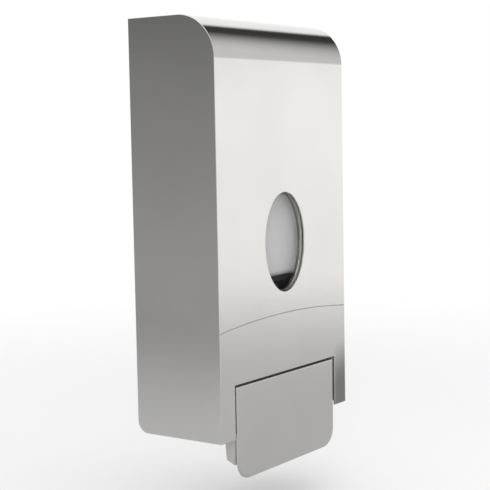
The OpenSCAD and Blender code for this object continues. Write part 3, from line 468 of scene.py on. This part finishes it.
def carve(solid, tool):
    """Cuts the tool's shape out of the solid, and frees both."""
    pair = []
    for shape in (solid, tool):
        mesh = bpy.data.meshes.new("carving")
        shape.to_mesh(mesh)
        shape.free()
        pair.append(bpy.data.objects.new("carving", mesh))
        bpy.context.scene.collection.objects.link(pair[-1])
    cut = pair[0].modifiers.new("cut", "BOOLEAN")
    cut.operation = "DIFFERENCE"
    cut.solver = "EXACT"
    cut.object = pair[1]
    settle(pair[0])
    result = bmesh.new()
    result.from_mesh(pair[0].data)
    for obj in pair:
        bpy.data.objects.remove(obj)
    return result


def brick(low, high):
    """A block between two corners in millimetres, as a bmesh."""
    shape = bmesh.new()
    bmesh.ops.create_cube(shape, size=1)
    first, last = at(*low), at(*high)
    bmesh.ops.scale(shape, vec=last - first, verts=shape.verts)
    bmesh.ops.translate(shape, vec=(first + last) / 2, verts=shape.verts)
    return shape


def edges_where(shape, test):
    """The edges whose two ends both pass the test, given in millimetres."""
    def passes(vert):
        return test(vert.co.x * 1000, vert.co.y * 1000, (vert.co.z + LIFT) * 1000)
    return [edge for edge in shape.edges if all(passes(vert) for vert in edge.verts)]


def bevel(shape, edges, radius, steps):
    """Rounds edges of a bmesh by a radius in millimetres."""
    return bmesh.ops.bevel(shape, geom=edges, offset=radius / 1000, offset_type="OFFSET",
                           segments=steps, profile=0.5, affect="EDGES", material=-1,
                           clamp_overlap=True)


def post(axis, radius, reach, middle, sides=48, oval=(1, 1)):
    """A bar of that radius and length in millimetres along X, Y or Z, as a bmesh."""
    shape = bmesh.new()
    bmesh.ops.create_cone(shape, cap_ends=True, segments=sides, radius1=radius / 1000,
                          radius2=radius / 1000, depth=reach / 1000)
    bmesh.ops.scale(shape, vec=(oval[0], oval[1], 1), verts=shape.verts)
    lean = {"X": (90, "Y"), "Y": (90, "X"), "Z": (0, "Z")}[axis]
    bmesh.ops.rotate(shape, cent=(0, 0, 0), verts=shape.verts,
                     matrix=Matrix.Rotation(math.radians(lean[0]), 3, lean[1]))
    bmesh.ops.translate(shape, vec=at(*middle), verts=shape.verts)
    return shape


# The outside is a block with a rounded top and heel. It is left open behind and below, and then
# gets the sheet's thickness inwards.
sheet = brick((-HALF_W, -DEPTH, 0), (HALF_W, -WALL_GAP, TALL))
bevel(sheet, edges_where(sheet, lambda x, y, z: y < 1 - DEPTH and z > TALL - 1), TOP_R, 36)
bevel(sheet, edges_where(sheet, lambda x, y, z: y > -1 and z < 1), HEEL_R, 10)
left_open = [face for face in sheet.faces
             if face.calc_center_median().y > HEEL_FRONT and abs(face.normal.x) < 0.5
             and face.normal.z < 0.5 or face.normal.z < -0.5]
bmesh.ops.delete(sheet, geom=left_open, context="FACES")
whole = bpy.data.meshes.new("sheet")
sheet.to_mesh(whole)
sheet.free()
folded = bpy.data.objects.new("sheet", whole)
bpy.context.scene.collection.objects.link(folded)
wall = folded.modifiers.new("wall", "SOLIDIFY")
wall.thickness = SHEET_T / 1000
wall.offset = -1
wall.use_even_offset = True
settle(folded)
sheet = bmesh.new()
sheet.from_mesh(folded.data)
bpy.data.objects.remove(folded)
# The folds between the front, the top and the sides are ground to a small radius.
folds = [edge for edge in edges_where(sheet, lambda x, y, z: abs(x) > HALF_W - 0.1)
         if edge.calc_face_angle() > math.radians(60)
         and all(face.normal.y < 0.1 and face.normal.z > -0.1 for face in edge.link_faces)]
bevel(sheet, folds, FOLD_R, 5)
# The notch, the window's oval and the lock's hole are cut with tools that reach past the sheet,
# and every square edge is then broken.
sheet = carve(sheet, brick((-NOTCH_X, -75, -10), (NOTCH_X, -60, NOTCH_TOP)))
sheet = carve(sheet, post("Y", OVAL_X, 10, (0, -DEPTH, OVAL_UP), 128, (1, OVAL_Z / OVAL_X)))
sheet = carve(sheet, post("Z", LOCK_R, 10, (0, LOCK_Y, TALL)))
rims = [edge for edge in sheet.edges if edge.calc_face_angle() > math.radians(75)]
bevel(sheet, rims, RIM_R, 3)
# The arc groove is a narrow V, pressed along a wide arc across the front.
groove = bmesh.new()
bmesh.ops.create_circle(groove, segments=4, radius=GROOVE_R / 1000, cap_ends=True)
bmesh.ops.scale(groove, vec=(0.6, 1, 1), verts=groove.verts)
bmesh.ops.rotate(groove, cent=(0, 0, 0), matrix=Matrix.Rotation(math.radians(90), 3, "Y"),
                 verts=groove.verts)
bmesh.ops.translate(groove, vec=at(0, -DEPTH, GROOVE_UP), verts=groove.verts)
bmesh.ops.rotate(groove, cent=at(0, 0, ARC_UP), verts=groove.verts,
                 matrix=Matrix.Rotation(math.radians(-ARC_DEG / 2), 3, "Y"))
bmesh.ops.spin(groove, geom=groove.faces[:], cent=at(0, 0, ARC_UP), axis=(0, 1, 0),
               angle=math.radians(ARC_DEG), steps=70, use_duplicate=False)
bmesh.ops.recalc_face_normals(groove, faces=groove.faces)
sheet = carve(sheet, groove)
fit("cover_sheet", sheet, "cover", ["cover_shell"], satin, crease=20)

# Cover's studs and nuts: threaded steel studs welded inside the front, with plain hexagon nuts.
# They hold the frame and the window's ring.
fit("weld_studs", solid_of("cover_studs"), "cover", ["cover_studs"],
    turned_steel, 0.2)
fit("hexagon_nuts", solid_of("stud_nuts"), "cover", ["stud_nuts"],
    turned_steel, 0.2)

# Cover's frame: a grey moulding with a beam above the notch and a cheek at each end, which
# carries the hinge pins and the lever's pivots.
# ABS, moulded mid grey: even colour with a fine spark-eroded texture.
grey_abs, tree, mm = new_material("grey_abs")
close(tree, Base_Color=between(tree, spread(tree, mm, 8, 0, 1), "#7b7b7c", "#848484"),
      Roughness=spread(tree, mm, 2, 0.45, 0.56), IOR=1.54, Normal=grain(tree, mm, 0.35, 0.012))
fit("hinge_frame", solid_of("cover_frame"), "cover", ["cover_frame"], grey_abs, 0.4)

# Window: a clear acrylic tray behind the oval opening, clamped by a pale ring on four studs.
# Acrylic, moulded and polished: clear and colourless. Its flat floor has a coating against
# glare, and its rim and wall keep the bare plastic's gloss.
# Lamplight goes straight through both, so that it reaches the tank.
clear_kinds = []
for name, index, tint in (("clear_acrylic", 1.49, "#bcbcba"), ("coated_acrylic", 1.08, "#fafafa")):
    material, tree, mm = new_material(name)
    body = put(tree, "ShaderNodeBsdfPrincipled", {
        "Base Color": linear(tint), "Roughness": 0.02, "IOR": index,
        "Transmission Weight": 1.0})
    open_way = put(tree, "ShaderNodeBsdfTransparent", {"Color": linear("#f0f0f0")})
    lamplight = put(tree, "ShaderNodeLightPath").outputs["Is Shadow Ray"]
    glass = put(tree, "ShaderNodeMixShader", {0: lamplight, 1: body.outputs[0],
                                              2: open_way.outputs[0]})
    put(tree, "ShaderNodeOutputMaterial", {"Surface": glass.outputs[0]})
    clear_kinds.append(material)


def grow(shape, loop, scale, push):
    """Draws a loop of edges on: scaled in X and Z, and pushed along Y in millimetres."""
    made = bmesh.ops.extrude_edge_only(shape, edges=loop)["geom"]
    verts = [part for part in made if isinstance(part, bmesh.types.BMVert)]
    bmesh.ops.scale(shape, vec=(scale[0], 1, scale[1]), verts=verts,
                    space=Matrix.Translation(-at(0, 0, OVAL_UP)))
    bmesh.ops.translate(shape, vec=(0, push / 1000, 0), verts=verts)
    return [part for part in made if isinstance(part, bmesh.types.BMEdge)
            and all(vert in verts for vert in part.verts)]


def widths(first, last):
    """The scale from one half width of the window's oval to another, across and upwards."""
    return (OVAL_X + last) / (OVAL_X + first), (OVAL_Z + last) / (OVAL_Z + first)


TRAY_T, BRIM_W, BRIM_T, BRIM_BACK = 1.2, 6, 1.5, -65.5
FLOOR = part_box("window_lens")[1].y * 1000 - TRAY_T  # front of the tray's clear floor
tray = bmesh.new()
rim = bmesh.ops.create_circle(tray, cap_ends=False, segments=128, radius=0.001)["verts"]
bmesh.ops.rotate(tray, cent=(0, 0, 0), matrix=Matrix.Rotation(math.radians(90), 3, "X"),
                 verts=rim)
bmesh.ops.scale(tray, vec=(OVAL_X, 1, OVAL_Z), verts=rim)
bmesh.ops.translate(tray, vec=at(0, FLOOR, OVAL_UP), verts=rim)
start = tray.edges[:]
wall = grow(tray, start, (1, 1), SHEET_T - DEPTH - FLOOR)
brim = grow(tray, wall, widths(0, BRIM_W), 0)
brim = grow(tray, brim, (1, 1), BRIM_T)
brim = grow(tray, brim, widths(BRIM_W, TRAY_T), 0)
back = grow(tray, brim, (1, 1), FLOOR + TRAY_T - BRIM_BACK)
bmesh.ops.contextual_create(tray, geom=start)
bmesh.ops.contextual_create(tray, geom=back)
bmesh.ops.recalc_face_normals(tray, faces=tray.faces)
bevel(tray, start, 1.0, 6)
bevel(tray, [edge for edge in tray.edges if edge in back and edge.is_valid], 1.4, 6)
tray.faces.ensure_lookup_table()
window = fit("window_tray", tray, "cover", ["window_lens"],
             clear_kinds[0])
window.data.materials.append(clear_kinds[1])
# The tray's flat floor, in front and behind, is its only face with many corners.
for face in window.data.polygons:
    if len(face.vertices) > 8:
        face.material_index = 1
fit("clamp_ring", solid_of("window_ring"), "cover", ["window_ring"], acetal, 0.3)

# Pins: plain turned steel. Two with heads carry the cover on the back plate's lugs, and two
# carry the lever on the frame.
fit("cover_pins", solid_of("hinge_pins"), "cover", ["hinge_pins"],
    turned_steel, 0.3)
fit("pivot_pins", solid_of("lever_pins"), "cover", ["lever_pins"],
    turned_steel, 0.3)

# Lock: a chromed die-cast housing through the cover's top with its nut, the keyed plug, and the
# cam with its screw.
# Satin chrome on zinc: bright with a soft haze.
chrome, tree, mm = new_material("satin_chrome")
close(tree, Base_Color=linear("#c9cacc"), Metallic=1.0,
      Roughness=spread(tree, mm, 1.5, 0.12, 0.2), Normal=grain(tree, mm, 0.2, 0.002))
fit("lock_barrel", solid_of("lock_housing"), "cover", ["lock_housing"], chrome,
    0.3, 3)
fit("barrel_nut", solid_of("lock_nut"), "cover", ["lock_nut"], chrome, 0.3)
fit("keyed_plug", solid_of("lock_plug"), "lock", ["lock_plug"], chrome, 0.2)
fit("cam_bar", solid_of("lock_cam"), "lock", ["lock_cam"], zinc, 0.2)
fit("cam_bolt", solid_of("cam_screw"), "lock", ["cam_screw"], turned_steel, 0.2)

# Lever: a grey moulded body, open behind, with pivot lugs and the fork that lifts the pump, and
# a flat stainless push plate on four welded studs, flush with the cover's front.
# ABS, moulded light grey to match the steel: fine even texture.
lever_abs, tree, mm = new_material("light_grey_abs")
close(tree, Base_Color=between(tree, spread(tree, mm, 8, 0, 1), "#a9a8a6", "#afaeac"),
      Roughness=spread(tree, mm, 2, 0.42, 0.52), IOR=1.54, Normal=grain(tree, mm, 0.3, 0.01))
fit("lever_moulding", solid_of("lever_body"), "lever", ["lever_body"], lever_abs,
    0.4)

# Stainless steel, satin finished, as on the cover, and a little duller where palms press it.
plate_steel, tree, mm = new_material("satin_push_plate")
drawn = put(tree, "ShaderNodeMapping", {"Vector": mm, "Scale": (1.0, 1.0, 0.02)}).outputs[0]
close(tree, Base_Color=between(tree, spread(tree, mm, 40, 0, 1), "#cdccca", "#d2d1cf"),
      Metallic=1.0, Roughness=spread(tree, drawn, 0.5, 0.16, 0.2),
      Normal=grain(tree, drawn, 0.3, 0.0002))
# The plate is a little narrower than its solid, so that the slots beside it look as dark as they
# are, and the edge of its front is rounded.
SLIM, PLATE_EDGE_R = 0.992, 1.0
plate = solid_of("lever_plate")
bmesh.ops.scale(plate, vec=(SLIM, 1, 1), verts=plate.verts)
bevel(plate, edges_where(plate, lambda x, y, z: y < 0.1 - DEPTH), PLATE_EDGE_R, 5)
fit("push_plate", plate, "lever", ["lever_plate"], plate_steel, 0.1, 1)
fit("plate_stud_pins", solid_of("plate_studs"), "lever", ["plate_studs"],
    turned_steel, 0.2)
